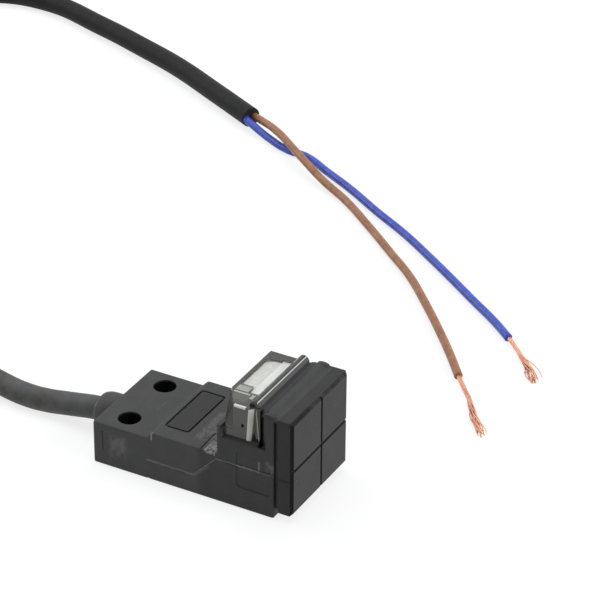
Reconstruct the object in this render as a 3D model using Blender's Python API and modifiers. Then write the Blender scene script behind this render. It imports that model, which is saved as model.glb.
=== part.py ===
"""Inductive proximity sensor with a square sensing head, a clear indicator cover and a two-core cable.

Millimetre sizes are turned into metres by MM. +X points from the cable to the sensing face, +Z is up, and
the origin is under the middle of the housing, on the surface that it stands on.
"""

import math

import bmesh
import bpy
from mathutils import Matrix, Vector

MM = 0.001

# Clearance, cutter margin and facets of a round part
GAP = 0.3 * MM
CUT = 1.0 * MM
ROUND_STEPS = 32

# Housing, measured along X from the rear face of the mounting block
BODY_WIDTH = 15.0 * MM
BLOCK_LENGTH = 8.3 * MM
BLOCK_HEIGHT = 6.5 * MM
RAMP_LENGTH = 0.8 * MM
DECK_LENGTH = 9.9 * MM
DECK_HEIGHT = 7.4 * MM
HEAD_LENGTH = 8.5 * MM
HEAD_HEIGHT = 15.4 * MM
WALL = 1.0 * MM
THIN_WALL = 0.7 * MM
EDGE_ROUND = 0.25 * MM
TOP_RIB_WIDTH = 1.7 * MM
TOP_RIB_RISE = 0.35 * MM
TOP_RIB_INSET = 0.9 * MM

# Mounting holes for M3 screws, and the boss that the cable leaves by
SCREW_HOLE = 3.2 * MM
SCREW_PITCH = 9.1 * MM
SCREW_INSET = 3.95 * MM
BOSS_LENGTH = 3.3 * MM
BOSS_RADIUS = 2.75 * MM
BOSS_MOUTH_RADIUS = 2.1 * MM
BOSS_HEIGHT = 3.15 * MM

# Seam between the housing and its bottom cover
SEAM_LOW = 2.8 * MM
SEAM_RISE_START = 15.4 * MM
SEAM_RISE_LENGTH = 3.5 * MM

# Sensing cap in front of the head
NECK_LENGTH = 0.65 * MM
LIP_THICKNESS = 0.5 * MM
NECK_INSET = 1.2 * MM
NECK_LIFT = 2.0 * MM
PLATE_THICKNESS = 2.15 * MM
PLATE_LIFT = 1.2 * MM
PLATE_CHAMFER = 0.4 * MM
FACE_WALL = 0.7 * MM
COLLAR_DEPTH = 0.6 * MM
COLLAR_WALL = 0.8 * MM
CROSS_WIDTH = 0.45 * MM
CROSS_DEPTH = 0.3 * MM
CROSS_SIDE_SHIFT = 0.3 * MM
CROSS_DROP = 0.25 * MM

# Clear cover over the rear of the head, with a ridge in front and a leg down the near side
COVER_LENGTH = 6.0 * MM
COVER_INSET = 0.55 * MM
COVER_SKIRT = 3.2 * MM
COVER_SKIN = 0.5 * MM
COVER_ROOF = 0.5 * MM
COVER_FRONT = 1.9 * MM
RIDGE_WIDTH = 1.65 * MM
RIDGE_RISE = 0.95 * MM
RIDGE_INSET = 0.1 * MM
CORNER_CUT_X = 2.2 * MM
CORNER_CUT_Y = 3.6 * MM
LEG_DROP = 4.9 * MM
LEG_DEPTH = 1.5 * MM
PANEL_BEVEL = 0.6 * MM
GROOVE_WIDTH = 0.25 * MM
FIN_WIDTH = 0.6 * MM
FIN_INSET = 0.4 * MM
LATCH_SLIT_WIDTH = 0.3 * MM
LATCH_SLIT_HEIGHT = 2.3 * MM
LATCH_SLIT_DEPTH = 0.3 * MM
LATCH_SLIT_INSET = 0.8 * MM
TAB_LENGTH = 1.3 * MM
TAB_HEIGHT = 1.1 * MM
NOTCH_LENGTH = 1.0 * MM
NOTCH_DEPTH = 1.0 * MM

# Shallow marks moulded into the housing
LABEL_LENGTH = 3.8 * MM
LABEL_WIDTH = 10.1 * MM
LABEL_LINE_WIDTH = 0.3 * MM
LABEL_LINE_DEPTH = 0.3 * MM
LABEL_INSET = 0.45 * MM
MARK_CORNER = 0.5 * MM
DECK_LINE_WIDTH = 0.2 * MM
DECK_LINE_DEPTH = 0.15 * MM
DECK_LINE_INSET = 2.4 * MM
DECK_LINE_LENGTH = 4.2 * MM
DECK_LINE_SKEW = math.radians(2.2)
SIDE_PANEL_LENGTH = 5.1 * MM
SIDE_PANEL_HEIGHT = 5.6 * MM
SIDE_PANEL_BOTTOM = 3.2 * MM
SIDE_PANEL_DEPTH = 0.12 * MM
SIDE_PANEL_INSET = 0.5 * MM

# Circuit board and the parts on it, each part as length, width and height
BOARD_THICKNESS = 0.8 * MM
BOARD_HEADROOM = 2.6 * MM
BOARD_SETBACK = 1.4 * MM
BOARD_SIDE_CLEARANCE = 0.7 * MM
RAIL_WIDTH = 1.2 * MM
TRAY_FLOOR = 1.2 * MM
CHIP_SIZE = (3.9 * MM, 4.9 * MM, 1.1 * MM)
TRANSISTOR_SIZE = (1.3 * MM, 2.9 * MM, 1.0 * MM)
DIODE_SIZE = (1.6 * MM, 2.6 * MM, 0.9 * MM)
RESISTOR_SIZE = (0.8 * MM, 1.6 * MM, 0.45 * MM)
CAPACITOR_SIZE = (0.8 * MM, 1.6 * MM, 0.8 * MM)
LAMP_SIZE = (0.8 * MM, 1.6 * MM, 0.7 * MM)
LAMP_SPACING = 2.6 * MM
SOLDER_SIZE = (1.1 * MM, 1.3 * MM, 0.8 * MM)
PART_SPACING = 0.6 * MM

# White light guide between the lamps and the clear cover
GUIDE_NEAR_ROOM = 1.85 * MM
GUIDE_FAR_ROOM = 0.4 * MM
GUIDE_POCKET_DEPTH = 2.0 * MM
GUIDE_WALL = 0.6 * MM

# Sensing coil in its pot core
CORE_LENGTH = 2.6 * MM
CORE_WALL = 0.7 * MM
CORE_BACK = 0.5 * MM
COIL_WINDOW = 2.2 * MM
BOBBIN_WALL = 0.25 * MM
LEAD_RADIUS = 0.18 * MM
LEAD_ANGLE = math.radians(21.0)
LEAD_REACH = 1.1 * MM

# Cable, its two cores and the ring crimped round it in the rear block
CABLE_RADIUS = 1.65 * MM
CABLE_REACH = 1.6 * MM
CORE_WIRE_RADIUS = 0.62 * MM
STRAND_RADIUS = 0.4 * MM
STRAND_TIP_RADIUS = 0.25 * MM
CABLE_COLLAR_LENGTH = 1.8 * MM
CABLE_COLLAR_WALL = 0.5 * MM
INNER_WIRE_SPACING = 2.0 * MM
INNER_WIRE_REACH = 2.0 * MM

# Coil that the unseen length is wound into, and its tie
COIL_CENTRE = (-97.4 * MM, 40.0 * MM)
COIL_MEAN_RADIUS = 19.5 * MM
COIL_COLUMNS = 3
COIL_LAYERS = 2
TIE_THICKNESS = 0.5 * MM
TIE_WIDTH = 3.0 * MM
TIE_ANGLE = math.radians(60.0)

# Routes in millimetres: the cable from behind the boss to its coil, then from the coil to its cut end
NEAR_ROUTE = [(-22.4, 0.0, 2.25),
              (-25.4, -0.05, 1.78), (-28.7, -0.15, 1.68), (-33.9, 0.7, 1.68), (-45.5, 4.4, 1.68),
              (-58.4, 9.8, 1.68), (-71.4, 14.8, 1.9), (-84.6, 17.2, 2.45)]
FAR_ROUTE = [(-120.2, 52.8, 5.5), (-120.4, 64.0, 3.5), (-120.1, 76.0, 2.0), (-118.4, 88.0, 1.7),
             (-114.0, 99.0, 1.68), (-106.4, 106.3, 1.68), (-96.9, 108.4, 1.68), (-82.0, 104.6, 1.68),
             (-71.8, 101.0, 1.68), (-63.1, 97.6, 1.68), (-52.9, 92.5, 1.68), (-43.4, 87.6, 1.68)]
BROWN_ROUTE = [(-42.8, 88.1, 1.7), (-37.0, 84.4, 2.4), (-30.4, 79.5, 2.3), (-23.7, 75.4, 1.2),
               (-17.8, 72.1, 0.68), (-11.1, 66.8, 0.68), (-4.2, 61.0, 0.68), (1.3, 56.3, 0.68),
               (7.0, 50.3, 0.68), (12.2, 44.4, 0.68), (16.7, 39.0, 0.68), (19.9, 34.9, 0.68)]
BLUE_ROUTE = [(-43.3, 86.4, 1.6), (-38.2, 84.2, 0.8), (-33.6, 82.3, 0.68), (-30.0, 81.8, 0.68),
              (-24.8, 79.0, 0.68), (-19.0, 75.8, 0.68), (-11.9, 71.3, 0.68), (-4.9, 67.1, 0.68),
              (0.9, 63.1, 0.68), (7.0, 58.7, 0.68), (12.8, 54.4, 0.68), (18.0, 50.6, 0.68),
              (21.6, 47.6, 0.68)]
BROWN_STRANDS = [(20.3, 34.4, 0.68), (23.2, 30.9, 0.55), (25.8, 27.7, 0.45), (29.3, 23.0, 0.42)]
BLUE_STRANDS = [(22.0, 47.3, 0.68), (25.2, 44.5, 0.55), (27.6, 41.7, 0.45), (30.0, 39.5, 0.42)]

# Places worked out from the sizes above
REAR = (BOSS_LENGTH - BLOCK_LENGTH - RAMP_LENGTH - DECK_LENGTH - HEAD_LENGTH - NECK_LENGTH
        - PLATE_THICKNESS) / 2
BLOCK_END = REAR + BLOCK_LENGTH
DECK_START = BLOCK_END + RAMP_LENGTH
HEAD_START = DECK_START + DECK_LENGTH
HEAD_END = HEAD_START + HEAD_LENGTH
PLATE_START = HEAD_END + NECK_LENGTH
FACE = PLATE_START + PLATE_THICKNESS
SIDE = BODY_WIDTH / 2
INNER_SIDE = SIDE - WALL
DECK_CEILING = DECK_HEIGHT - WALL
HEAD_CEILING = HEAD_HEIGHT - WALL
SEAM_HIGH = DECK_CEILING
COVER_END = HEAD_START + COVER_LENGTH
COVER_BOTTOM = HEAD_HEIGHT - COVER_SKIRT
COVER_SEAT = COVER_BOTTOM - GAP
COVER_NEAR = -SIDE + COVER_INSET
COVER_FAR = SIDE - COVER_INSET
COVER_INNER_FRONT = COVER_END - COVER_FRONT
FIN_START = COVER_END - FIN_WIDTH
BEVEL_END = FIN_START - GROOVE_WIDTH
PANEL_END = BEVEL_END - PANEL_BEVEL
LEG_START = HEAD_START + CORNER_CUT_X
LEG_INNER = COVER_NEAR + LEG_DEPTH
LEG_BOTTOM = HEAD_HEIGHT - LEG_DROP
TAB_START = LEG_START - TAB_LENGTH
POCKET_FLOOR = LEG_BOTTOM - GAP
POCKET_WALL = LEG_INNER + GAP
NOTCH_END = COVER_END + GAP + NOTCH_LENGTH
COLLAR_START = HEAD_END - COLLAR_DEPTH
COLLAR_SIDE = INNER_SIDE - GAP
COLLAR_TOP = HEAD_CEILING - GAP
COLLAR_BOTTOM = WALL + GAP
CUP_SIDE = COLLAR_SIDE - COLLAR_WALL
CUP_TOP = COLLAR_TOP - COLLAR_WALL
CUP_BOTTOM = COLLAR_BOTTOM + COLLAR_WALL
CUP_MIDDLE = (CUP_TOP + CUP_BOTTOM) / 2
PLATE_MIDDLE = (PLATE_LIFT + HEAD_HEIGHT) / 2
CORE_RADIUS = min(CUP_SIDE, CUP_TOP - CUP_MIDDLE) - GAP
CORE_INNER = CORE_RADIUS - CORE_WALL
CORE_POST = CORE_INNER - COIL_WINDOW
CORE_FRONT = FACE - FACE_WALL - GAP
CORE_REAR = CORE_FRONT - CORE_LENGTH
CORE_FLOOR = CORE_REAR + CORE_BACK
LEAD_CIRCLE = CORE_POST + COIL_WINDOW / 2
LEAD_SIDE = LEAD_CIRCLE * math.sin(LEAD_ANGLE)
LEAD_HEIGHT = CUP_MIDDLE - LEAD_CIRCLE * math.cos(LEAD_ANGLE)
CABLE_END = BLOCK_END + CABLE_REACH
CABLE_BORE = CABLE_RADIUS + GAP
BOARD_TOP = DECK_CEILING - BOARD_HEADROOM
BOARD_HEIGHT = BOARD_TOP - BOARD_THICKNESS
BOARD_START = CABLE_END + BOARD_SETBACK
BOARD_END = min(COLLAR_START, CORE_REAR) - GAP
BOARD_SIDE = INNER_SIDE - BOARD_SIDE_CLEARANCE
PART_HEIGHT = BOARD_TOP + GAP
GUIDE_START = HEAD_START + COVER_SKIN + GAP
GUIDE_END = COVER_INNER_FRONT - GAP
GUIDE_TOP = HEAD_HEIGHT - COVER_ROOF - GAP
GUIDE_NEAR = POCKET_WALL + THIN_WALL + GUIDE_NEAR_ROOM
GUIDE_FAR = COVER_FAR - COVER_SKIN - GUIDE_FAR_ROOM
COIL_HALF_WIDTH = COIL_COLUMNS * CABLE_RADIUS
COIL_BOTTOM = TIE_THICKNESS + GAP
COIL_TOP = COIL_BOTTOM + COIL_LAYERS * 2 * CABLE_RADIUS

# Colour, roughness and metallic value of each material
FINISHES = {
    "charcoal_plastic": ((0.075, 0.075, 0.078), 0.55, 0.0),
    "smoky_plastic": ((0.16, 0.16, 0.14), 0.15, 0.0),
    "white_plastic": ((0.78, 0.79, 0.76), 0.45, 0.0),
    "green_board": ((0.02, 0.16, 0.07), 0.5, 0.0),
    "black_resin": ((0.02, 0.02, 0.02), 0.45, 0.0),
    "resistor_black": ((0.04, 0.04, 0.045), 0.4, 0.0),
    "capacitor_tan": ((0.42, 0.28, 0.17), 0.5, 0.0),
    "orange_lamp": ((0.85, 0.35, 0.05), 0.2, 0.0),
    "green_lamp": ((0.1, 0.7, 0.2), 0.2, 0.0),
    "ferrite": ((0.06, 0.06, 0.065), 0.6, 0.0),
    "bobbin_plastic": ((0.6, 0.57, 0.5), 0.5, 0.0),
    "copper": ((0.78, 0.4, 0.28), 0.3, 1.0),
    "solder": ((0.7, 0.71, 0.72), 0.35, 1.0),
    "steel": ((0.55, 0.55, 0.56), 0.35, 1.0),
    "cable_jacket": ((0.07, 0.07, 0.072), 0.6, 0.0),
    "brown_insulation": ((0.35, 0.14, 0.06), 0.4, 0.0),
    "blue_insulation": ((0.05, 0.08, 0.6), 0.4, 0.0),
    "tie_plastic": ((0.03, 0.03, 0.03), 0.5, 0.0),
}


def clear_scene():
    for obj in list(bpy.data.objects):
        bpy.data.objects.remove(obj, do_unlink=True)


def make_collection(name):
    collection = bpy.data.collections.new(name)
    bpy.context.scene.collection.children.link(collection)
    return collection


def make_material(name):
    colour, roughness, metallic = FINISHES[name]
    material = bpy.data.materials.new(name)
    material.use_nodes = True
    shader = material.node_tree.nodes["Principled BSDF"]
    shader.inputs["Base Color"].default_value = (*colour, 1.0)
    shader.inputs["Roughness"].default_value = roughness
    shader.inputs["Metallic"].default_value = metallic
    material.diffuse_color = (*colour, 1.0)
    return material


clear_scene()
PIECES = make_collection("proximity_sensor")
CUTTERS = make_collection("cutters")
MATERIALS = {name: make_material(name) for name in FINISHES}


def add_object(name, data, finish=None):
    """Link a mesh or curve as a piece with its finish, or as a hidden cutter when it has none."""
    obj = bpy.data.objects.new(name, data)
    if finish:
        PIECES.objects.link(obj)
        data.materials.append(MATERIALS[finish])
    else:
        CUTTERS.objects.link(obj)
        obj.hide_render = True
        obj.display_type = "WIRE"
    return obj


def box(name, low, high, finish=None):
    """A box between two corners."""
    size = [top - bottom for bottom, top in zip(low, high)]
    middle = [(top + bottom) / 2 for bottom, top in zip(low, high)]
    mesh = bpy.data.meshes.new(name)
    bm = bmesh.new()
    bmesh.ops.create_cube(bm, size=1.0, matrix=Matrix.Diagonal((*size, 1.0)))
    bm.to_mesh(mesh)
    bm.free()
    obj = add_object(name, mesh, finish)
    obj.location = middle
    return obj


def block_on(name, middle, size, finish):
    """A box-shaped part that stands on the circuit board, its plan centred on a point."""
    low = (middle[0] - size[0] / 2, middle[1] - size[1] / 2, PART_HEIGHT)
    high = (middle[0] + size[0] / 2, middle[1] + size[1] / 2, PART_HEIGHT + size[2])
    return box(name, low, high, finish)


def swing(obj, angle, place):
    """Turn an object about the vertical line through the origin, then move that line to a place."""
    bpy.context.view_layer.update()
    obj.matrix_world = Matrix.Translation(place) @ Matrix.Rotation(angle, 4, "Z") @ obj.matrix_world


def as_mesh(curve_object, finish=None, rounded=False):
    """Replace an extruded curve object by its closed mesh with whole flat faces, shaded smooth when rounded."""
    graph = bpy.context.evaluated_depsgraph_get()
    mesh = bpy.data.meshes.new_from_object(curve_object.evaluated_get(graph))
    bm = bmesh.new()
    bm.from_mesh(mesh)
    bmesh.ops.remove_doubles(bm, verts=bm.verts, dist=0.001 * MM)
    bmesh.ops.recalc_face_normals(bm, faces=bm.faces)
    bmesh.ops.dissolve_limit(bm, angle_limit=math.radians(0.5), verts=bm.verts, edges=bm.edges)
    for face in bm.faces:
        face.smooth = rounded and len(face.verts) == 4
    bm.to_mesh(mesh)
    bm.free()
    mesh.materials.clear()
    name = curve_object.name
    placing = curve_object.matrix_world.copy()
    bpy.data.objects.remove(curve_object, do_unlink=True)
    obj = add_object(name, mesh, finish)
    obj.matrix_world = placing
    return obj


# Turns of a flat outline, so that its third direction lies along the named axis
OUTLINE_TURNS = {"Y": (math.pi / 2, 0.0, 0.0), "Z": (0.0, 0.0, 0.0)}


def outline(name, points, axis, low, high, finish=None, rounded=False):
    """A flat outline given in the other two axes, in order, and extruded along one axis."""
    curve = bpy.data.curves.new(name, "CURVE")
    curve.dimensions = "2D"
    curve.fill_mode = "BOTH"
    curve.extrude = (high - low) / 2
    spline = curve.splines.new("POLY")
    spline.points.add(len(points) - 1)
    for point, (first, second) in zip(spline.points, points):
        point.co = (first, second, 0.0, 1.0)
    spline.use_cyclic_u = True
    obj = bpy.data.objects.new(name, curve)
    CUTTERS.objects.link(obj)
    obj.rotation_euler = OUTLINE_TURNS[axis]
    obj.location["XYZ".index(axis)] = (high + low) / 2
    bpy.context.view_layer.update()
    return as_mesh(obj, finish, rounded)


def turned(name, profile, centre, finish=None, steps=ROUND_STEPS, closed=False, upright=False, start=0.0):
    """A body turned about an axis along X, or Z when upright, from (radius, distance along it) points.

    The points run down the outer side, from the high end of the axis to the low one, and the first facet
    begins at the start angle.
    """
    mesh = bpy.data.meshes.new(name)
    bm = bmesh.new()
    verts = [bm.verts.new((radius * math.cos(start), radius * math.sin(start), along))
             for radius, along in profile]
    pairs = list(zip(verts, verts[1:]))
    if closed:
        pairs.append((verts[-1], verts[0]))
    for first, second in pairs:
        bm.edges.new((first, second))
    bm.to_mesh(mesh)
    bm.free()
    obj = add_object(name, mesh, finish)
    if not upright:
        obj.rotation_euler = (0.0, math.pi / 2, 0.0)
    obj.location = centre
    screw = obj.modifiers.new("turn", "SCREW")
    screw.axis = "Z"
    screw.angle = 2 * math.pi
    screw.steps = steps
    screw.render_steps = steps
    screw.use_merge_vertices = True
    screw.merge_threshold = 0.001 * MM
    return obj


def ring_profile(inner, outer, back, front):
    """Closed profile of a plain ring for turned()."""
    return [(outer, front), (outer, back), (inner, back), (inner, front)]


def upright_cylinder(name, radius, centre, low, high, finish=None, sides=ROUND_STEPS):
    mesh = bpy.data.meshes.new(name)
    bm = bmesh.new()
    bmesh.ops.create_cone(bm, cap_ends=True, segments=sides, radius1=radius, radius2=radius,
                          depth=high - low)
    for face in bm.faces:
        face.smooth = len(face.verts) == 4
    bm.to_mesh(mesh)
    bm.free()
    obj = add_object(name, mesh, finish)
    obj.location = (*centre, (low + high) / 2)
    return obj


def cut(target, *cutters):
    for cutter in cutters:
        modifier = target.modifiers.new("cut " + cutter.name, "BOOLEAN")
        modifier.operation = "DIFFERENCE"
        modifier.object = cutter


def join(target, *others):
    for other in others:
        modifier = target.modifiers.new("join " + other.name, "BOOLEAN")
        modifier.operation = "UNION"
        modifier.object = other


def soften(obj, width, segments=2):
    """Round the sharp edges."""
    modifier = obj.modifiers.new("rounded edges", "BEVEL")
    modifier.width = width
    modifier.segments = segments
    modifier.limit_method = "ANGLE"
    modifier.angle_limit = math.radians(25.0)


def in_metres(points):
    return [Vector(point) * MM for point in points]


def round_edges(obj, width, wanted, segments=2):
    """Round the edges of a mesh whose two ends, given in the part's frame, are wanted."""
    bm = bmesh.new()
    bm.from_mesh(obj.data)
    edges = [edge for edge in bm.edges if wanted(*(obj.matrix_basis @ vert.co for vert in edge.verts))]
    bmesh.ops.bevel(bm, geom=edges, offset=width, segments=segments, profile=0.5, affect="EDGES")
    bm.to_mesh(obj.data)
    bm.free()


def smooth_route(points, spacing):
    """Points about a spacing apart on a smooth curve through the chosen ones."""
    knots = [2 * points[0] - points[1], *points, 2 * points[-1] - points[-2]]
    route = []
    for before, start, end, after in zip(knots, knots[1:], knots[2:], knots[3:]):
        steps = max(1, round((end - start).length / spacing))
        for step in range(steps):
            t = step / steps
            bend = (2 * before - 5 * start + 4 * end - after) * t * t
            twist = (3 * start - before - 3 * end + after) * t ** 3
            route.append(start + ((end - before) * t + bend + twist) / 2)
    route.append(points[-1])
    return route


def tube(name, route, radius, finish, end_radius=None):
    """A round tube with closed ends along a route, tapered when it has an end radius."""
    curve = bpy.data.curves.new(name, "CURVE")
    curve.dimensions = "3D"
    curve.bevel_depth = radius
    curve.bevel_resolution = 2
    curve.use_fill_caps = True
    spline = curve.splines.new("POLY")
    spline.points.add(len(route) - 1)
    for index, (point, place) in enumerate(zip(spline.points, route)):
        point.co = (*place, 1.0)
        if end_radius:
            point.radius = 1 + (end_radius / radius - 1) * index / (len(route) - 1)
    return add_object(name, curve, finish)


def rounded_rectangle(low, high, radius, steps=3):
    """Corner points of a rectangle with round corners, anticlockwise."""
    points = []
    corners = [((high[0] - radius, high[1] - radius), 0), ((low[0] + radius, high[1] - radius), 1),
               ((low[0] + radius, low[1] + radius), 2), ((high[0] - radius, low[1] + radius), 3)]
    for centre, quarter in corners:
        for step in range(steps + 1):
            angle = (quarter + step / steps) * math.pi / 2
            points.append((centre[0] + radius * math.cos(angle), centre[1] + radius * math.sin(angle)))
    return points


def seam_points(raised):
    """Top line of the bottom cover's sides, from the block to the front, raised by a distance."""
    rise_start = REAR + SEAM_RISE_START
    return [(BLOCK_END, SEAM_LOW + raised), (rise_start, SEAM_LOW + raised),
            (rise_start + SEAM_RISE_LENGTH, SEAM_HIGH + raised), (HEAD_END + CUT, SEAM_HIGH + raised)]


def half_round(middle, base, width, rise, steps=8):
    """Points of a low arch over a base line, from high to low along X, without those on the line itself."""
    points = []
    for step in range(1, steps):
        angle = math.pi * step / steps
        points.append((middle + math.cos(angle) * width / 2, base + math.sin(angle) * rise))
    return points


def cable_boss():
    """Rounded boss at the rear that the cable leaves by, sunk a little into the mounting block."""
    shoulder = BOSS_RADIUS - BOSS_MOUTH_RADIUS
    round_length = BOSS_LENGTH / 2
    round_steps = 5
    profile = [(CABLE_RADIUS, WALL), (BOSS_RADIUS, WALL)]
    for step in range(round_steps + 1):
        angle = math.pi / 2 * step / round_steps
        profile.append((BOSS_MOUTH_RADIUS + shoulder * math.cos(angle),
                        -BOSS_LENGTH + round_length * (1 - math.sin(angle))))
    profile.append((CABLE_RADIUS, -BOSS_LENGTH))
    return turned("boss_blank", profile, (REAR, 0.0, BOSS_HEIGHT), closed=True, start=math.pi / ROUND_STEPS)


def top_rib():
    """Low round rib across the top of the head, just behind the neck."""
    middle = HEAD_END - TOP_RIB_INSET
    points = half_round(middle, HEAD_HEIGHT, TOP_RIB_WIDTH, TOP_RIB_RISE)
    points += [(middle - TOP_RIB_WIDTH / 2, HEAD_HEIGHT - THIN_WALL),
               (middle + TOP_RIB_WIDTH / 2, HEAD_HEIGHT - THIN_WALL)]
    end = SIDE - 2 * EDGE_ROUND
    return outline("top_rib", points, "Y", -end, end, rounded=True)


def housing():
    """One moulding: mounting block, deck and head, hollow inside and open below and in front."""
    side_view = [(REAR, 0.0), (HEAD_END, 0.0), (HEAD_END, HEAD_HEIGHT), (HEAD_START, HEAD_HEIGHT),
                 (HEAD_START, DECK_HEIGHT), (DECK_START, DECK_HEIGHT), (BLOCK_END, BLOCK_HEIGHT),
                 (REAR, BLOCK_HEIGHT)]
    body = outline("housing", side_view, "Y", -SIDE, SIDE, "charcoal_plastic")
    soften(body, EDGE_ROUND)
    join(body, cable_boss(), top_rib())
    cut(body, housing_hollow(), *cover_recesses(), cable_bore(), *screw_holes(), seam_cutter(),
        label_frame(), deck_line(), side_panel())


def housing_hollow():
    """Room under the deck and in the head, open below and in front, less the backing of the leg's pocket."""
    rear = BLOCK_END + THIN_WALL
    head_rear = HEAD_START + THIN_WALL
    front = HEAD_END + CUT
    points = [(rear, -CUT), (front, -CUT), (front, HEAD_CEILING), (head_rear, HEAD_CEILING),
              (head_rear, DECK_CEILING), (rear, DECK_CEILING)]
    hollow = outline("housing_hollow", points, "Y", -INNER_SIDE, INNER_SIDE)
    cut(hollow, box("pocket_backing", (HEAD_START, -SIDE, POCKET_FLOOR - THIN_WALL),
                    (COLLAR_START - GAP, POCKET_WALL + THIN_WALL, HEAD_HEIGHT)))
    return hollow


def cover_recesses():
    """Seat for the clear cover on top, and the pocket for its leg with a notch in front of the leg."""
    top = HEAD_HEIGHT + CUT
    near = -SIDE - CUT
    cover_front = COVER_END + GAP
    plan = [(TAB_START - GAP, near), (NOTCH_END, near), (NOTCH_END, -SIDE + NOTCH_DEPTH),
            (cover_front, -SIDE + NOTCH_DEPTH), (cover_front, POCKET_WALL), (TAB_START - GAP, POCKET_WALL)]
    return [box("cover_seat", (HEAD_START - CUT, near, COVER_SEAT), (cover_front, SIDE + CUT, top)),
            outline("leg_pocket", plan, "Z", POCKET_FLOOR, top)]


def cable_bore():
    """Bore for the cable along the block and the boss, wider at its inner end for the crimped ring."""
    outside = -BOSS_LENGTH - CUT
    inside = BLOCK_LENGTH + THIN_WALL + GAP
    step = BLOCK_LENGTH - CABLE_COLLAR_LENGTH - GAP
    collar_bore = CABLE_BORE + CABLE_COLLAR_WALL + GAP
    profile = [(0.0, inside), (collar_bore, inside), (collar_bore, step), (CABLE_BORE, step),
               (CABLE_BORE, outside), (0.0, outside)]
    return turned("cable_bore", profile, (REAR, 0.0, BOSS_HEIGHT))


def screw_holes():
    places = [(REAR + SCREW_INSET, side * SCREW_PITCH / 2) for side in (-1, 1)]
    return [upright_cylinder("screw_hole_%d" % number, SCREW_HOLE / 2, place, -CUT, BLOCK_HEIGHT + CUT)
            for number, place in enumerate(places, 1)]


def seam_cutter():
    """Everything below the seam, which is the bottom cover's."""
    points = [(BLOCK_END, -CUT), (HEAD_END + CUT, -CUT), *seam_points(GAP)[::-1]]
    return outline("seam_cutter", points, "Y", -SIDE - CUT, SIDE + CUT)


def label_frame():
    """Fine groove round the label's place on the deck."""
    low = (DECK_START + LABEL_INSET, -LABEL_WIDTH / 2)
    high = (low[0] + LABEL_LENGTH, LABEL_WIDTH / 2)
    line = LABEL_LINE_WIDTH
    outer = rounded_rectangle(low, high, MARK_CORNER)
    inner = rounded_rectangle((low[0] + line, low[1] + line), (high[0] - line, high[1] - line), MARK_CORNER - line)
    frame = outline("label_frame", outer, "Z", DECK_HEIGHT - LABEL_LINE_DEPTH, DECK_HEIGHT + CUT)
    cut(frame, outline("label_field", inner, "Z", DECK_HEIGHT - CUT, DECK_HEIGHT + 2 * CUT))
    return frame


def deck_line():
    """Fine slanting line across the near part of the deck, behind the head."""
    line = box("deck_line", (-DECK_LINE_WIDTH / 2, -CUT, -DECK_LINE_DEPTH),
               (DECK_LINE_WIDTH / 2, DECK_LINE_LENGTH, CUT))
    swing(line, DECK_LINE_SKEW, (HEAD_START - DECK_LINE_INSET, -SIDE, DECK_HEIGHT))
    return line


def side_panel():
    """Shallow rectangle moulded into the near side, below the clear cover's leg."""
    end = HEAD_END - SIDE_PANEL_INSET
    points = rounded_rectangle((end - SIDE_PANEL_LENGTH, SIDE_PANEL_BOTTOM),
                               (end, SIDE_PANEL_BOTTOM + SIDE_PANEL_HEIGHT), MARK_CORNER)
    return outline("side_panel", points, "Y", -SIDE - CUT, -SIDE + SIDE_PANEL_DEPTH)


def bottom_cover():
    """Tray that closes the housing from below, with a ledge along each side that carries the circuit board."""
    points = [(BLOCK_END + GAP, 0.0), (HEAD_END, 0.0), (HEAD_END, SEAM_HIGH), *seam_points(0.0)[2:0:-1],
              (BLOCK_END + GAP, SEAM_LOW)]
    tray = outline("bottom_cover", points, "Y", -SIDE, SIDE, "charcoal_plastic")
    round_edges(tray, EDGE_ROUND, is_tray_corner)
    ledge_side = INNER_SIDE - RAIL_WIDTH
    ledge_top = BOARD_HEIGHT - GAP
    ledge_end = COLLAR_START - GAP
    top = SEAM_HIGH + CUT
    well = [(BLOCK_END, ledge_top), (ledge_end, ledge_top), (ledge_end, WALL), (HEAD_END + CUT, WALL),
            (HEAD_END + CUT, top), (BLOCK_END, top)]
    cut(tray,
        outline("tray_well", well, "Y", -INNER_SIDE, INNER_SIDE),
        box("tray_trough", (BLOCK_END, -ledge_side, TRAY_FLOOR), (ledge_end + CUT, ledge_side, ledge_top + CUT)),
        bpy.data.objects["side_panel"])


def is_tray_corner(one, other):
    """True for the bottom edges and for the upright ones in front, and not for the edges of the seam."""
    upright_in_front = min(one.x, other.x) > HEAD_END - GAP and abs(one.y - other.y) < GAP
    return max(one.z, other.z) < GAP or upright_in_front


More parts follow.
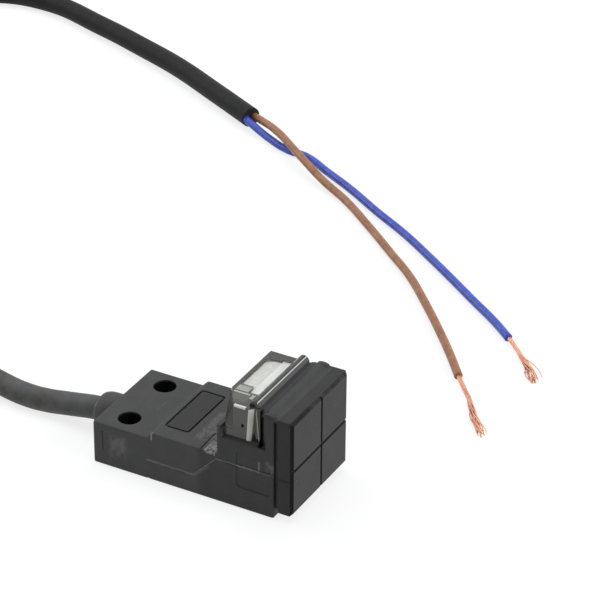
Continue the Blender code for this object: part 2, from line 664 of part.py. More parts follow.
def sensing_cap():
    """Front cup: bevelled face with a cross, a lip back to the head, a neck, and a collar that plugs in."""
    lip_end = HEAD_END + GAP
    lip_bottom = HEAD_HEIGHT - LIP_THICKNESS
    side_view = [(PLATE_START, PLATE_LIFT), (FACE, PLATE_LIFT), (FACE, HEAD_HEIGHT), (lip_end, HEAD_HEIGHT),
                 (lip_end, lip_bottom), (PLATE_START, lip_bottom)]
    plate = outline("sensing_cap", side_view, "Y", -SIDE, SIDE, "charcoal_plastic")
    round_edges(plate, PLATE_CHAMFER, lambda one, other: min(one.x, other.x) > FACE - GAP, segments=1)
    neck_side = SIDE - NECK_INSET
    neck = box("neck", (lip_end + EDGE_ROUND, -neck_side, NECK_LIFT),
               (PLATE_START + FACE_WALL / 2, neck_side, HEAD_HEIGHT - LIP_THICKNESS / 2))
    collar = box("collar", (COLLAR_START, -COLLAR_SIDE, COLLAR_BOTTOM),
                 (PLATE_START + FACE_WALL, COLLAR_SIDE, COLLAR_TOP))
    join(plate, neck, collar)
    cross_height = PLATE_MIDDLE - CROSS_DROP
    cut(plate,
        box("cup_hollow", (COLLAR_START - CUT, -CUP_SIDE, CUP_BOTTOM), (FACE - FACE_WALL, CUP_SIDE, CUP_TOP)),
        box("cross_upright", (FACE - CROSS_DEPTH, CROSS_SIDE_SHIFT - CROSS_WIDTH / 2, -CUT),
            (FACE + CUT, CROSS_SIDE_SHIFT + CROSS_WIDTH / 2, HEAD_HEIGHT + CUT)),
        box("cross_level", (FACE - CROSS_DEPTH, -SIDE - CUT, cross_height - CROSS_WIDTH / 2),
            (FACE + CUT, SIDE + CUT, cross_height + CROSS_WIDTH / 2)))


def cover_plan():
    """Plan of the clear cover before its corner is cut: flat panel, its bevel, a groove and the thin fin."""
    groove = COVER_NEAR + PANEL_BEVEL
    return [(HEAD_START, COVER_NEAR), (PANEL_END, COVER_NEAR), (BEVEL_END, groove), (FIN_START, groove),
            (FIN_START, COVER_NEAR + FIN_INSET), (COVER_END, COVER_NEAR + FIN_INSET), (COVER_END, COVER_FAR),
            (HEAD_START, COVER_FAR)]


def indicator_cover():
    """Clear moulding: hollow top with a round ridge, a cut corner, and a leg with a tab on the near side."""
    cover = outline("indicator_cover", cover_plan(), "Z", LEG_BOTTOM, HEAD_HEIGHT, "smoky_plastic")
    ridge_end = COVER_END - RIDGE_INSET
    ridge_base = HEAD_HEIGHT - COVER_ROOF / 2
    ridge = half_round(ridge_end - RIDGE_WIDTH / 2, HEAD_HEIGHT, RIDGE_WIDTH, RIDGE_RISE)
    ridge += [(ridge_end - RIDGE_WIDTH, ridge_base), (ridge_end, ridge_base)]
    near_end = COVER_NEAR + PANEL_BEVEL + RIDGE_INSET
    join(cover, outline("cover_ridge", ridge, "Y", near_end, COVER_FAR - RIDGE_INSET, rounded=True))
    slit_end = PANEL_END - LATCH_SLIT_INSET
    cut(cover, room_under_skirt(), corner_cutter(),
        outline("cover_hollow", cover_hollow_plan(), "Z", COVER_BOTTOM - CUT, HEAD_HEIGHT - COVER_ROOF),
        box("latch_slit", (slit_end - LATCH_SLIT_WIDTH, COVER_NEAR - CUT, LEG_BOTTOM - CUT),
            (slit_end, COVER_NEAR + LATCH_SLIT_DEPTH, LEG_BOTTOM + LATCH_SLIT_HEIGHT)))


def room_under_skirt():
    """Everything below the skirt but the leg and its tab."""
    rear = HEAD_START - CUT
    front = COVER_END + CUT
    near = COVER_NEAR - CUT
    far = COVER_FAR + CUT
    plan = [(rear, near), (TAB_START, near), (TAB_START, LEG_INNER), (front, LEG_INNER), (front, far), (rear, far)]
    return outline("room_under_skirt", plan, "Z", LEG_BOTTOM - CUT, COVER_BOTTOM)


def corner_cutter():
    """Wedge above the tab that cuts the cover's near rear corner."""
    rear = HEAD_START - CORNER_CUT_X
    near = COVER_NEAR - CORNER_CUT_Y
    plan = [(rear, near), (LEG_START + CORNER_CUT_X, near), (rear, COVER_NEAR + 2 * CORNER_CUT_Y)]
    return outline("corner_cutter", plan, "Z", LEG_BOTTOM + TAB_HEIGHT, HEAD_HEIGHT + CUT)


def cover_hollow_plan():
    """Inside of the clear cover's skirt, with its own cut corner."""
    rear = HEAD_START + COVER_SKIN
    corner = COVER_NEAR + CORNER_CUT_Y
    near = LEG_INNER + GAP
    far = COVER_FAR - COVER_SKIN
    corner_x = rear + (corner - near) * CORNER_CUT_X / CORNER_CUT_Y
    return [(rear, corner), (corner_x, near), (COVER_INNER_FRONT, near), (COVER_INNER_FRONT, far), (rear, far)]


def circuit_board():
    low = (BOARD_START, -BOARD_SIDE, BOARD_HEIGHT)
    box("circuit_board", low, (BOARD_END, BOARD_SIDE, BOARD_TOP), "green_board")


def board_parts():
    """Sensor chip with a row of small parts on each side, a diode, and the transistor in front of the guide."""
    chip_x = GUIDE_START - PART_SPACING - CHIP_SIZE[0] / 2
    block_on("sensor_chip", (chip_x, 0.0), CHIP_SIZE, "black_resin")
    row = beside(CHIP_SIZE[1] / 2)
    for number, offset in enumerate((-1, 1), 1):
        place = chip_x + offset * RESISTOR_SIZE[0]
        block_on("chip_resistor_%d" % number, (place, row), RESISTOR_SIZE, "resistor_black")
        block_on("chip_capacitor_%d" % number, (place, -row), CAPACITOR_SIZE, "capacitor_tan")
    diode_x = BOARD_START + PART_SPACING + DIODE_SIZE[0] / 2
    diode_y = beside(INNER_WIRE_SPACING / 2 + SOLDER_SIZE[1] / 2)
    block_on("zener_diode", (diode_x, diode_y), DIODE_SIZE, "black_resin")
    transistor_x = GUIDE_END + GAP + TRANSISTOR_SIZE[0] / 2
    transistor_y = beside(LEAD_SIDE + LEAD_RADIUS)
    block_on("output_transistor", (transistor_x, transistor_y), TRANSISTOR_SIZE, "black_resin")


def beside(edge):
    """Middle of the room between a part's edge and the side of the board."""
    return (edge + BOARD_SIDE) / 2


def light_guide():
    """White block that carries the lamps' light up to the clear cover, hollow at its foot over the lamps."""
    low = (GUIDE_START, GUIDE_NEAR, PART_HEIGHT)
    high = (GUIDE_END, GUIDE_FAR, GUIDE_TOP)
    guide = box("light_guide", low, high, "white_plastic")
    soften(guide, EDGE_ROUND)
    cut(guide, box("guide_hollow", (low[0] + GUIDE_WALL, low[1] + GUIDE_WALL, PART_HEIGHT - CUT),
                   (high[0] - GUIDE_WALL, high[1] - GUIDE_WALL, PART_HEIGHT + GUIDE_POCKET_DEPTH)))
    for name, side in (("orange_lamp", -1), ("green_lamp", 1)):
        middle = ((GUIDE_START + GUIDE_END) / 2, (GUIDE_NEAR + GUIDE_FAR + side * LAMP_SPACING) / 2)
        block_on(name, middle, LAMP_SIZE, name)


def pot_core():
    """Ferrite cup with a centre post, open towards the sensing face, with two lead holes in its back."""
    profile = [(0.0, CORE_FRONT), (CORE_POST, CORE_FRONT), (CORE_POST, CORE_FLOOR), (CORE_INNER, CORE_FLOOR),
               (CORE_INNER, CORE_FRONT), (CORE_RADIUS, CORE_FRONT), (CORE_RADIUS, CORE_REAR), (0.0, CORE_REAR)]
    core = turned("ferrite_core", profile, (0.0, 0.0, CUP_MIDDLE), "ferrite", 36)
    radius = LEAD_RADIUS + GAP
    front = CORE_FLOOR + GAP
    back = CORE_REAR - CUT
    hole = [(0.0, front), (radius, front), (radius, back), (0.0, back)]
    for number, side in enumerate((-1, 1), 1):
        cut(core, turned("lead_hole_%d" % number, hole, (0.0, side * LEAD_SIDE, LEAD_HEIGHT), steps=12))


def sensing_coil():
    """Flanged bobbin on the core's post, with the winding between its flanges."""
    hub_inner = CORE_POST + GAP
    hub_outer = hub_inner + BOBBIN_WALL
    flange = CORE_INNER - GAP
    back = CORE_FLOOR + GAP
    front_flange = CORE_FRONT - BOBBIN_WALL
    back_flange = back + BOBBIN_WALL
    profile = [(flange, CORE_FRONT), (flange, front_flange), (hub_outer, front_flange),
               (hub_outer, back_flange), (flange, back_flange), (flange, back), (hub_inner, back),
               (hub_inner, CORE_FRONT)]
    centre = (0.0, 0.0, CUP_MIDDLE)
    turned("coil_bobbin", profile, centre, "bobbin_plastic", 36, closed=True)
    winding = ring_profile(hub_outer + GAP, flange, back_flange + GAP, front_flange - GAP)
    turned("coil_winding", winding, centre, "copper", 36, closed=True)


def coil_leads():
    """Two leads from the back of the coil, through the core's lead holes and down to the board."""
    foot = BOARD_TOP + GAP + LEAD_RADIUS
    for number, side in enumerate((-1, 1), 1):
        across = side * LEAD_SIDE
        route = [(CORE_FLOOR, across, LEAD_HEIGHT), (CORE_REAR - GAP, across, LEAD_HEIGHT),
                 (CORE_REAR - LEAD_REACH, across, foot), (CORE_REAR - 2 * LEAD_REACH, across, foot)]
        tube("coil_lead_%d" % number, [Vector(place) for place in route], LEAD_RADIUS, "copper")


def cable_end():
    """Ring crimped round the cable in the block, and the two cores on the board inside."""
    ring_end = BLOCK_END - REAR
    ring = ring_profile(CABLE_BORE, CABLE_BORE + CABLE_COLLAR_WALL, ring_end - CABLE_COLLAR_LENGTH, ring_end)
    turned("cable_collar", ring, (REAR, 0.0, BOSS_HEIGHT), "steel", closed=True)
    wire_height = BOARD_TOP + GAP + CORE_WIRE_RADIUS
    start = CABLE_END + GAP
    for colour, side in (("brown", 1), ("blue", -1)):
        across = side * INNER_WIRE_SPACING / 2
        inner = side * (CORE_WIRE_RADIUS + GAP / 2)
        bend_end = start + INNER_WIRE_REACH / 2
        end = start + INNER_WIRE_REACH
        route = [Vector((start, inner, BOSS_HEIGHT)), Vector((start + GAP, inner, BOSS_HEIGHT)),
                 Vector((bend_end, across, wire_height)), Vector((end, across, wire_height))]
        tube("inner_core_" + colour, route, CORE_WIRE_RADIUS, colour + "_insulation")
        solder_x = end + GAP + SOLDER_SIZE[0] / 2
        block_on("solder_" + colour, (solder_x, across), SOLDER_SIZE, "solder")


def cable():
    """The jacket from the housing to the coil, the coil with its tie, and the jacket on to its cut end."""
    spacing = 5 * CABLE_RADIUS
    inside = [Vector((along, 0.0, BOSS_HEIGHT)) for along in (CABLE_END, REAR, REAR - BOSS_LENGTH)]
    tube("cable_near", smooth_route(inside + in_metres(NEAR_ROUTE), spacing), CABLE_RADIUS, "cable_jacket")
    tube("cable_far", smooth_route(in_metres(FAR_ROUTE), spacing), CABLE_RADIUS, "cable_jacket")
    section = rounded_rectangle((COIL_MEAN_RADIUS - COIL_HALF_WIDTH, COIL_BOTTOM),
                                (COIL_MEAN_RADIUS + COIL_HALF_WIDTH, COIL_TOP), CABLE_RADIUS, 2)
    turned("cable_coil", section[::-1], (*COIL_CENTRE, 0.0), "cable_jacket", 40, closed=True, upright=True)
    low = (COIL_MEAN_RADIUS - COIL_HALF_WIDTH - GAP, -TIE_WIDTH / 2, COIL_BOTTOM - GAP)
    high = (COIL_MEAN_RADIUS + COIL_HALF_WIDTH + GAP, TIE_WIDTH / 2, COIL_TOP + GAP)
    tie = box("coil_tie", (low[0] - TIE_THICKNESS, low[1], low[2] - TIE_THICKNESS),
              (high[0] + TIE_THICKNESS, high[1], high[2] + TIE_THICKNESS), "tie_plastic")
    opening = box("tie_opening", (low[0], low[1] - CUT, low[2]), (high[0], high[1] + CUT, high[2]))
    for piece in (tie, opening):
        swing(piece, TIE_ANGLE, (*COIL_CENTRE, 0.0))
    cut(tie, opening)


def free_cores():
    """The two insulated cores beyond the jacket's cut end, and their bared strands."""
    spacing = 6 * CORE_WIRE_RADIUS
    for colour, route, bared in (("brown", BROWN_ROUTE, BROWN_STRANDS), ("blue", BLUE_ROUTE, BLUE_STRANDS)):
        covered = smooth_route(in_metres(route), spacing)
        tube("core_" + colour, covered, CORE_WIRE_RADIUS, colour + "_insulation")
        strands = smooth_route(in_metres(bared), spacing)
        tube("strands_" + colour, strands, STRAND_RADIUS, "copper", STRAND_TIP_RADIUS)


def main():
    housing()
    bottom_cover()
    sensing_cap()
    indicator_cover()
    circuit_board()
    board_parts()
    light_guide()
    pot_core()
    sensing_coil()
    coil_leads()
    cable_end()
    cable()
    free_cores()


main()
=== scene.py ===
"""Dresses the inductive proximity sensor: camera, cable with its cores and strands, fine detail,
materials, light and floor. Lengths are in millimetres until they are multiplied by MM."""

import math
import random

import bmesh
import bpy
from mathutils import Matrix, Vector
from mathutils.geometry import interpolate_bezier

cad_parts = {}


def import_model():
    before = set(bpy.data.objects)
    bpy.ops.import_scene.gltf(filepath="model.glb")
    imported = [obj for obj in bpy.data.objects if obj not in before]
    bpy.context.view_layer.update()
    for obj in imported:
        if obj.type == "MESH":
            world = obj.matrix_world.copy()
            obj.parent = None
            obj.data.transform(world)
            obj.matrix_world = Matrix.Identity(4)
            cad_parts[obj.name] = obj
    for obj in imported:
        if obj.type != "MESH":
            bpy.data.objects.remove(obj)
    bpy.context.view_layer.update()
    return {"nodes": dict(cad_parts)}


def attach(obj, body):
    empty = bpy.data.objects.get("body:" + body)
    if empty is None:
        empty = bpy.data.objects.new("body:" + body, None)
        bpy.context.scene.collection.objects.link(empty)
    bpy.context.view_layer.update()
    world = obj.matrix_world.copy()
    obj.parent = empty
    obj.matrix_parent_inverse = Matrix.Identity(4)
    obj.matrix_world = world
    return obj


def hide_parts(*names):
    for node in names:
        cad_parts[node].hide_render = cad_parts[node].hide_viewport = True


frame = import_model()
MM = 0.001

# Sizes of the CAD model that the pieces below are fitted to
BLOCK_END = -5.2
HEAD_END = 14.0
HEAD_HEIGHT = 15.4
SIDE = 7.5
GAP = 0.3
BOSS_HEIGHT = 3.15
BOSS_END = -16.8
SEAM = [(BLOCK_END, 2.8), (1.9, 2.8), (5.4, 6.4), (HEAD_END, 6.4)]
CABLE_RADIUS = 1.65
CORE_RADIUS = 0.62
RIB_X, RIB_HALF_WIDTH, RIB_RISE = 13.2, 0.9, 0.4

# How far the fillings of joints lie behind the walls
FLUSH = 0.004

# Camera of the photograph: a long lens above the near front corner
CAMERA_PLACE = Vector((170.34, -287.97, 223.1)) * MM
CAMERA_RIGHT = Vector((0.87621, 0.48188, 0.00733))
CAMERA_UP = Vector((-0.25091, 0.44315, 0.86062))
CAMERA_BACK = Vector((0.41147, -0.75592, 0.5092))
CAMERA_LENS = 180.0
CAMERA_SENSOR = 36.0
CAMERA_NEAREST = 10 * MM

# Cord routes, the same points as in the CAD source
EXIT = (BOSS_END, 0.0, BOSS_HEIGHT)
INSIDE = [(-3.6, 0.0, 3.15), (-13.5, 0.0, 3.15), EXIT]
NEAR_ROUTE = [(-22.4, 0.0, 2.25), (-25.4, -0.05, 1.78), (-28.7, -0.15, 1.68), (-33.9, 0.7, 1.68),
              (-45.5, 4.4, 1.68), (-58.4, 9.8, 1.68), (-71.4, 14.8, 1.9), (-84.6, 17.2, 2.45)]
FAR_ROUTE = [(-120.2, 52.8, 5.5), (-120.4, 64.0, 3.5), (-120.1, 76.0, 2.0), (-118.4, 88.0, 1.7),
             (-114.0, 99.0, 1.68), (-106.4, 106.3, 1.68), (-96.9, 108.4, 1.68),
             (-82.0, 104.6, 1.68), (-71.8, 101.0, 1.68), (-63.1, 97.6, 1.68), (-52.9, 92.5, 1.68),
             (-43.4, 87.6, 1.68)]
BROWN_ROUTE = [(-42.8, 88.1, 1.7), (-37.0, 84.4, 2.4), (-30.4, 79.5, 2.3), (-23.7, 75.4, 1.2),
               (-17.8, 72.1, 0.68), (-11.1, 66.8, 0.68), (-4.2, 61.0, 0.68), (1.3, 56.3, 0.68),
               (7.0, 50.3, 0.68), (12.2, 44.4, 0.68), (16.7, 39.0, 0.68), (19.9, 34.9, 0.68)]
BLUE_ROUTE = [(-43.3, 86.4, 1.6), (-38.2, 84.2, 0.8), (-33.6, 82.3, 0.68), (-30.0, 81.8, 0.68),
              (-24.8, 79.0, 0.68), (-19.0, 75.8, 0.68), (-11.9, 71.3, 0.68), (-4.9, 67.1, 0.68),
              (0.9, 63.1, 0.68), (7.0, 58.7, 0.68), (12.8, 54.4, 0.68), (18.0, 50.6, 0.68),
              (21.6, 47.6, 0.68)]
BROWN_STRANDS = [(19.9, 34.9, 0.68), (20.3, 34.4, 0.68), (21.7, 32.8, 0.6), (24.0, 30.2, 0.5),
                 (24.9, 28.8, 0.45), (26.3, 26.7, 0.45), (28.0, 24.8, 0.45), (29.3, 23.1, 0.42)]
BLUE_STRANDS = [(21.6, 47.6, 0.68), (22.0, 47.3, 0.68), (23.9, 45.5, 0.6), (25.6, 43.8, 0.5),
                (27.3, 42.0, 0.45), (28.5, 40.3, 0.45), (29.6, 38.9, 0.42)]

# Where each core begins inside the cut end of the jacket, a hair thinner than the core in the open
BROWN_ROOT = (-43.7, 88.5, 1.7)
BLUE_ROOT = (-44.79, 87.53, 1.65)
ROOT_RADIUS = CORE_RADIUS - 0.01

# Coil of the cable's unseen length: its three rings, its two layers and the strap that ties it
COIL_CENTRE = (-97.4, 40.0)
COIL_RADII = (22.8, 19.5, 16.2)
COIL_HEIGHTS = (2.45, 5.75)
COIL_TURNS = 6.25
POINTS_PER_TURN = 16
STEP_TURNS = 0.25
CLIMB_AT = 2.4
CLIMB_TURNS = 0.35
TIE_ANGLE = math.radians(60.0)
TIE_SLACK = 0.35

# Bare wires: one in the middle with six round it, which are the inner ones, and the outer ones
WIRES = 19
WIRE_RADIUS = 0.075
INNER_WIRES = 7
INNER_RING = 0.14
OUTER_RING = 0.27


def link(name, data):
    obj = bpy.data.objects.new(name, data)
    bpy.context.scene.collection.objects.link(obj)
    return obj


def add_camera():
    data = bpy.data.cameras.new("camera")
    data.lens = CAMERA_LENS
    data.sensor_width = CAMERA_SENSOR
    data.clip_start = CAMERA_NEAREST
    camera = link("camera", data)
    turn = Matrix((CAMERA_RIGHT, CAMERA_UP, CAMERA_BACK)).transposed()
    camera.matrix_world = Matrix.Translation(CAMERA_PLACE) @ turn.to_4x4()
    bpy.context.scene.camera = camera


add_camera()


def ease(t):
    t = min(max(t, 0.0), 1.0)
    return t * t * (3 - 2 * t)


def coil_route():
    """Bottom layer wound inwards, then the top layer outwards, with a soft step between turns."""
    outer, middle, inner = COIL_RADII
    bottom, top = COIL_HEIGHTS
    steps = [(1, outer, middle), (2, middle, inner), (4, inner, middle), (5, middle, outer)]
    points = []
    for index in range(round(COIL_TURNS * POINTS_PER_TURN) + 1):
        turns = index / POINTS_PER_TURN
        radius = outer + sum((new - old) * ease((turns - at) / STEP_TURNS + 1)
                             for at, old, new in steps)
        height = bottom + (top - bottom) * ease((turns - CLIMB_AT) / CLIMB_TURNS)
        angle = -math.pi / 2 - 2 * math.pi * turns
        points.append((COIL_CENTRE[0] + radius * math.cos(angle),
                       COIL_CENTRE[1] + radius * math.sin(angle), height))
    return points


def round_curve(name, radius, roundness):
    data = bpy.data.curves.new(name, "CURVE")
    data.dimensions = "3D"
    data.bevel_depth = radius * MM
    data.bevel_resolution = roundness
    data.use_fill_caps = True
    return data


def as_piece(curve):
    """Replaces a curve object by its mesh, so that its box is its real one."""
    data = curve.data
    graph = bpy.context.evaluated_depsgraph_get()
    mesh = bpy.data.meshes.new_from_object(curve.evaluated_get(graph))
    mesh.name = data.name
    name = curve.name
    bpy.data.objects.remove(curve, do_unlink=True)
    bpy.data.curves.remove(data)
    return link(name, mesh)


def smooth_cord(name, points, radius, roundness=6):
    """A round cord on one smooth curve through points, and the line that it follows, in metres."""
    steps = 8
    data = round_curve(name, radius, roundness)
    data.resolution_u = steps
    spline = data.splines.new("BEZIER")
    spline.bezier_points.add(len(points) - 1)
    for point, place in zip(spline.bezier_points, points):
        point.co = Vector(place) * MM
        point.handle_left_type = "AUTO"
        point.handle_right_type = "AUTO"
    curve = link(name, data)
    bpy.context.view_layer.update()
    path = []
    for start, end in zip(spline.bezier_points, spline.bezier_points[1:]):
        path += interpolate_bezier(start.co, start.handle_right, end.handle_left, end.co,
                                   steps + 1)[:-1]
    path.append(spline.bezier_points[-1].co.copy())
    piece = as_piece(curve)
    for face in piece.data.polygons:
        face.use_smooth = len(face.vertices) == 4
    return piece, [tuple(place) for place in path]


cable_route = INSIDE + NEAR_ROUTE + coil_route() + FAR_ROUTE
cable, cable_line = smooth_cord("cable", cable_route, CABLE_RADIUS, roundness=8)
brown, brown_line = smooth_cord("brown_core", BROWN_ROUTE, CORE_RADIUS)
blue, blue_line = smooth_cord("blue_core", BLUE_ROUTE, CORE_RADIUS)
brown_root, _ = smooth_cord("brown_root", [BROWN_ROOT, BROWN_ROUTE[0]], ROOT_RADIUS)
blue_root, _ = smooth_cord("blue_root", [BLUE_ROOT, BLUE_ROUTE[0]], ROOT_RADIUS)


def along(points, share):
    """Place and direction at a share of a route's length."""
    vectors = [Vector(point) for point in points]
    target = share * sum((b - a).length for a, b in zip(vectors, vectors[1:]))
    for a, b in zip(vectors, vectors[1:]):
        step = (b - a).length
        if target <= step:
            return a + (b - a) * (target / step), (b - a).normalized()
        target -= step
    return vectors[-1], (vectors[-1] - vectors[-2]).normalized()


def strands(name, points, seed, swell, strays):
    """A bundle of fine bare wires, twisted at the insulation, swelling and fraying at its end."""
    steps, golden_angle, twist, flatten, lowest = 15, 2.4, 5.0, 0.8, 0.09
    ripple, ripples = 0.06, 14
    chance = random.Random(seed)
    data = round_curve(name, WIRE_RADIUS, 1)
    for number in range(WIRES):
        ring = 0.0 if number == 0 else INNER_RING if number < INNER_WIRES else OUTER_RING
        stray = number >= WIRES - strays
        reach = chance.uniform(0.72, 0.9) if stray else chance.uniform(0.92, 1.0)
        wild = chance.uniform(0.8, 1.2) if stray else chance.uniform(0.0, 0.3)
        heading = chance.uniform(0, 2 * math.pi)
        wave = chance.uniform(0, 2 * math.pi)
        spline = data.splines.new("NURBS")
        spline.points.add(steps)
        spline.order_u = 4
        spline.use_endpoint_u = True
        for step in range(steps + 1):
            share = step / steps * reach
            place, forward = along(points, share)
            across = forward.cross(Vector((0, 0, 1))).normalized()
            above = across.cross(forward)
            angle = number * golden_angle + share * twist
            spread = ring * (1 + swell * ease((share - 0.35) / 0.5))
            loose = wild * ease((share - 0.3) / 0.7)
            side = spread * math.cos(angle) + loose * math.cos(heading)
            side += ripple * ease(share * 2) * math.sin(share * ripples + wave)
            lift = spread * math.sin(angle) * flatten + loose * 0.5 * math.sin(heading)
            spot = place + across * side + above * lift
            spot.z = max(spot.z, lowest)
            spline.points[step].co = (*(spot * MM), 1.0)
    return as_piece(link(name, data))


brown_wires = strands("brown_strands", BROWN_STRANDS, seed=11, swell=0.7, strays=1)
blue_wires = strands("blue_strands", BLUE_STRANDS, seed=23, swell=1.2, strays=3)


def around(items):
    """The items from the second on, with the first one at the end."""
    return items[1:] + items[:1]


def tube(bm, rings):
    """Faces between neighbouring rings of vertices, which close on themselves both ways."""
    for ring, following in zip(rings, around(rings)):
        for corners in zip(ring, around(ring), around(following), following):
            bm.faces.new(corners)


def bevel(bm, corners, width, segments=2):
    """Rounds the edges that meet at some vertices."""
    edges = {edge for corner in corners for edge in corner.link_edges}
    bmesh.ops.bevel(bm, geom=list(edges), offset=width * MM, segments=segments, profile=0.5,
                    affect="EDGES")


def block(bm, middle, size, width, segments):
    """Adds a box by its middle and its size, with rounded edges."""
    place = (Matrix.Translation(Vector(middle) * MM)
             @ Matrix.Diagonal((*(value * MM for value in size), 1.0)))
    bevel(bm, bmesh.ops.create_cube(bm, size=1.0, matrix=place)["verts"], width, segments)


def solid(bm, plan, low, high, rounded=0.0, axis="Z"):
    """Adds an outline, extruded from low to high, with rounded edges."""
    order = {"Z": (0, 1, 2), "Y": (0, 2, 1)}[axis]
    rings = []
    for level in (low, high):
        ring = []
        for first, second in plan:
            place = [0.0, 0.0, 0.0]
            for index, value in zip(order, (first, second, level)):
                place[index] = value * MM
            ring.append(bm.verts.new(place))
        rings.append(ring)
    start, end = rings
    faces = [bm.faces.new(ring) for ring in rings]
    faces += [bm.faces.new(corners) for corners in zip(start, around(start), around(end), end)]
    bmesh.ops.recalc_face_normals(bm, faces=faces)
    if rounded:
        bevel(bm, start + end, rounded)


def box_plan(low, high):
    return [(low[0], low[1]), (high[0], low[1]), (high[0], high[1]), (low[0], high[1])]


def soften(mesh, sharp):
    """Shades a mesh smooth, apart from edges sharper than an angle in degrees."""
    mesh.shade_smooth()
    mesh.set_sharp_from_angle(angle=math.radians(sharp))


def mesh_object(name, bm):
    mesh = bpy.data.meshes.new(name)
    bm.to_mesh(mesh)
    bm.free()
    return link(name, mesh)


def finished(name, bm):
    obj = mesh_object(name, bm)
    soften(obj.data, 30)
    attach(obj, "root")
    return obj


def coil_tie():
    """Plastic strap round the coil's section, with its locking head and tail on the outside."""
    reach = CABLE_RADIUS + TIE_SLACK
    low_r, high_r = COIL_RADII[2] - reach, COIL_RADII[0] + reach
    low_z, high_z = COIL_HEIGHTS[0] - reach, COIL_HEIGHTS[1] + reach
    width, thick, corner, steps = 2.4, 0.45, 1.7, 6
    inner_radius, inner_side = corner - 0.02, width / 2
    outer_radius, outer_side = corner + thick, width / 2 - 0.12
    section = ((inner_radius, -inner_side), (inner_radius, inner_side),
               (outer_radius, outer_side), (outer_radius, -outer_side))
    middles = ((high_r - corner, high_z - corner), (low_r + corner, high_z - corner),
               (low_r + corner, low_z + corner), (high_r - corner, low_z + corner))
    bm = bmesh.new()
    rings = []
    for quarter, (x, z) in enumerate(middles):
        for step in range(steps + 1):
            angle = (quarter + step / steps) * math.pi / 2
            out, up = math.cos(angle), math.sin(angle)
            rings.append([bm.verts.new(((x + out * radius) * MM, side * MM, (z + up * radius) * MM))
                          for radius, side in section])
    tube(bm, rings)
    # Locking head, and the tail that comes out of it
    block(bm, (high_r + 1.3, 0, 3.9), (2.3, 3.9, 3.4), 0.45, 3)
    block(bm, (high_r + 1.1, 0, 6.0), (0.8, 2.3, 1.6), 0.15, 2)
    bmesh.ops.recalc_face_normals(bm, faces=bm.faces)
    obj = mesh_object("tie_strap", bm)
    soften(obj.data, 40)
    obj.matrix_world = (Matrix.Translation(Vector((*COIL_CENTRE, 0)) * MM)
                        @ Matrix.Rotation(TIE_ANGLE, 4, "Z"))
    return obj


def guide_top():
    """White end of the light guide under the clear roof: a flat field and a raised bar in front."""
    bm = bmesh.new()
    field = [(6.05, -1.85), (7.98, -1.85), (7.98, 5.4), (7.2, 5.3), (6.5, 5.0), (6.05, 4.4)]
    bar = box_plan((8.02, -3.25), (9.4, 6.0))
    bottom, field_top, bar_top = 12.4, 14.82, 14.86
    solid(bm, field, bottom, field_top, 0.08)
    solid(bm, bar, bottom, bar_top, 0.1)
    return finished("guide_top", bm)


def corner_web():
    """Web between the cover's cut corner and its tab, and the closed lower part of the slit."""
    bm = bmesh.new()
    web = ((5.53, -3.42, 15.36), (7.68, -6.93, 15.36), (6.42, -6.93, 11.63), (5.53, -5.1, 12.0),
           (7.68, -6.93, 11.63), (5.53, -3.42, 12.0))
    for place in web:
        bm.verts.new(Vector(place) * MM)
    hull = bmesh.ops.convex_hull(bm, input=bm.verts[:])
    bmesh.ops.delete(bm, geom=list(set(hull["geom_interior"])), context="VERTS")
    slit_end = box_plan((8.94, -6.94), (9.26, -6.6))
    solid(bm, slit_end, 10.52, 12.3)
    bmesh.ops.recalc_face_normals(bm, faces=bm.faces)
    return finished("corner_web", bm)


def light_shield():
    """Dark frame round the light guide that fills the inside of the clear cover."""
    bm = bmesh.new()
    plan = [(6.08, -3.25), (7.17, -5.06), (9.52, -5.06), (9.52, 6.37), (6.08, 6.37)]
    solid(bm, plan, 11.98, 14.15, 0.1)
    return finished("light_shield", bm)


def seam_fill():
    """Closes the fitting gaps between housing, bottom cover and cap, as the glued joints do."""
    bm = bmesh.new()
    flush, inside = SIDE - FLUSH, SIDE - 0.6
    # The stepped seam, left as a groove for the flash, and its upright end at the rear block
    stepped = SEAM + [(x, z + GAP) for x, z in SEAM[::-1]]
    upright = box_plan((BLOCK_END, 0.2), (BLOCK_END + GAP, SEAM[0][1]))
    for side in (-1, 1):
        for plan, outer in ((stepped, SIDE - 0.06), (upright, flush)):
            solid(bm, plan, *sorted((side * inside, side * outer)), axis="Y")
    # The same joint across the underside
    bottom = SIDE - 0.25
    solid(bm, box_plan((BLOCK_END, -bottom), (BLOCK_END + GAP, bottom)), 0.02, 0.6)
    # The cap's joint: its rounded top in front of the rib, its corners and the neck below
    shoulder = [(13.2, 15.45), (13.4, 15.74), (13.62, 15.68), (13.85, 15.57), (14.1, 15.47),
                (14.4, 15.415), (14.7, 15.403), (14.7, 15.35), (HEAD_END + GAP, 14.95),
                (13.7, 14.95)]
    solid(bm, shoulder, 0.4 - SIDE, SIDE - 0.4, axis="Y")
    solid(bm, box_plan((13.72, 15.0), (14.3, HEAD_HEIGHT - FLUSH)), -flush, flush, axis="Y")
    neck = SIDE - 0.55
    solid(bm, box_plan((HEAD_END - 0.1, 1.4), (14.66, 14.92)), -neck, neck, axis="Y")
    # The clear cover's joints: behind its leg, below its leg and in front of its roof
    solid(bm, box_plan((6.1, 0.01 - SIDE), (6.38, -5.2)), 10.25, 11.5)
    solid(bm, box_plan((6.45, -6.9), (11.45, -5.3)), 10.15, 10.48)
    solid(bm, box_plan((11.48, -6.4), (11.82, 7.3)), 14.2, 15.33)
    return finished("seam_fill", bm)


